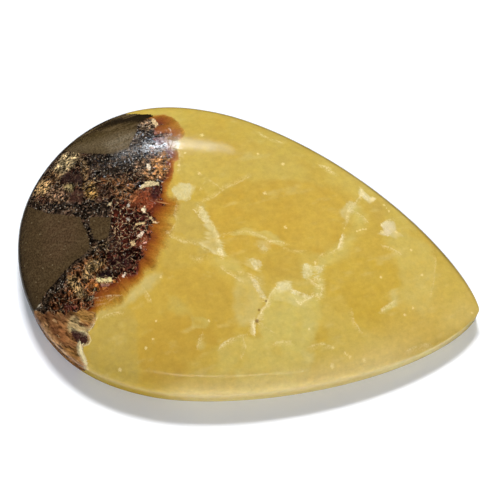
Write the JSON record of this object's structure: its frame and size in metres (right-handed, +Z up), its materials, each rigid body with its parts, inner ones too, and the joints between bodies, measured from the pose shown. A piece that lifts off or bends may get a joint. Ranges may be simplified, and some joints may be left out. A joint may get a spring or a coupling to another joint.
{
  "type": "pear cut calcite gemstone",
  "caption": "Loose pear-shaped cabochon of yellow septarian calcite with dark clay and crystal bands, polished dome and flat back, for setting in a pendant.",
  "frame": {"origin": "on the flat back, at the middle of the stone's length and width", "axes": "+X along the stone from the round end to the point, +Y across it, +Z up from the flat back to the crown of the dome"},
  "size_m": [0.045, 0.0292, 0.0075],
  "materials": {
    "calcite": "polished"
  },
  "bodies": {
    "root": {"pear_cabochon": "calcite"}
  },
  "joints": []
}
